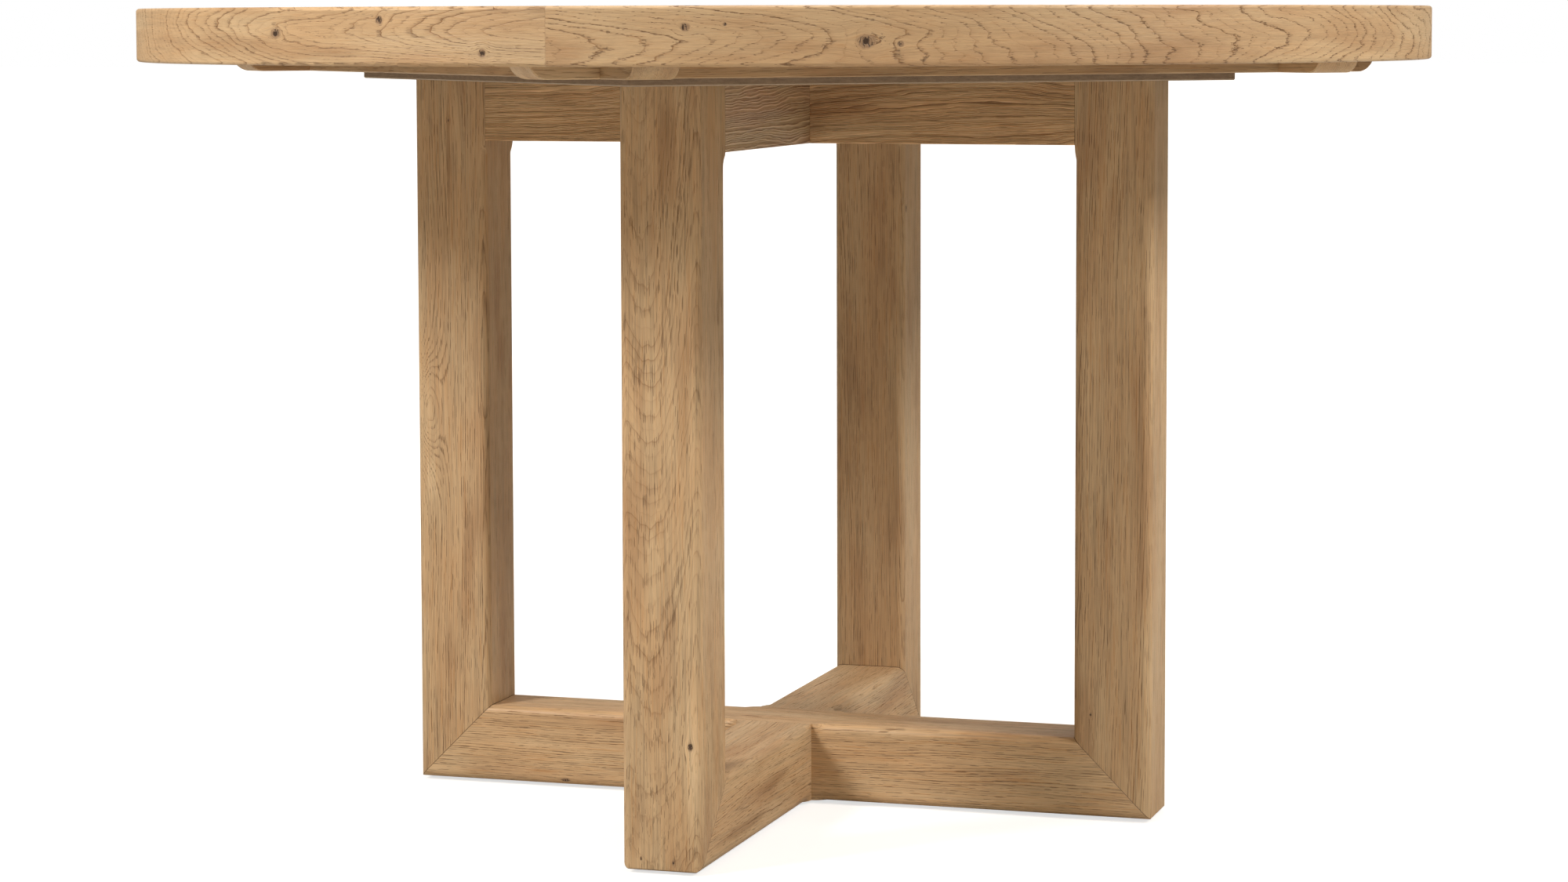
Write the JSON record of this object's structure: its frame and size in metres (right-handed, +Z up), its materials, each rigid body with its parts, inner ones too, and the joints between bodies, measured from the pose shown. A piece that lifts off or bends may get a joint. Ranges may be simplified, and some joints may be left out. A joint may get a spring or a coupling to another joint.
{
  "type": "round pedestal table",
  "caption": "Round oak dining table: a thick disc top with a bent edge band on a base of crossed, mitred square frames.",
  "frame": {"origin": "on the floor, under the centre of the round top", "axes": "+Z up; +X towards the right leg and +Y towards the back leg, so the two frames of the base lie on X and Y"},
  "size_m": [1.2199, 1.2199, 0.76],
  "materials": {
    "oak_top": "brushed matt oil",
    "oak_edge": "brushed matt oil",
    "oak_base": "brushed matt oil",
    "oak_under": "planed matt oil",
    "board": "stained plywood",
    "beech_tenon": "planed",
    "screw_steel": "yellow zinc",
    "bolt_steel": "black zinc",
    "insert_brass": "machined",
    "glide_nylon": "moulded"
  },
  "bodies": {
    "root": {"base_screws": "screw_steel", "bearer_back_left": "oak_under", "bearer_back_right": "oak_under", "bearer_front_left": "oak_under", "bearer_front_right": "oak_under", "bearer_screws": "screw_steel", "bottom_rail_across": "oak_base", "bottom_rail_front_back": "oak_base", "edge_band_1": "oak_edge", "edge_band_2": "oak_edge", "edge_band_3": "oak_edge", "floor_glides": "glide_nylon", "leg_back": "oak_base", "leg_front": "oak_base", "leg_left": "oak_base", "leg_right": "oak_base", "mitre_tenons": "beech_tenon", "mounting_board": "board", "rail_tenons": "beech_tenon", "rim_block_1": "oak_under", "rim_block_2": "oak_under", "rim_block_3": "oak_under", "rim_block_4": "oak_under", "rim_block_5": "oak_under", "rim_block_6": "oak_under", "threaded_inserts": "insert_brass", "top_bolt_washers": "bolt_steel", "top_bolts": "bolt_steel", "top_plank_1": "oak_top", "top_plank_2": "oak_top", "top_plank_3": "oak_top", "top_plank_4": "oak_top", "top_plank_5": "oak_top", "top_plank_6": "oak_top", "top_plank_7": "oak_top", "top_plank_8": "oak_top", "top_plank_9": "oak_top", "top_rail_across": "oak_base", "top_rail_front_back": "oak_base"}
  },
  "joints": []
}
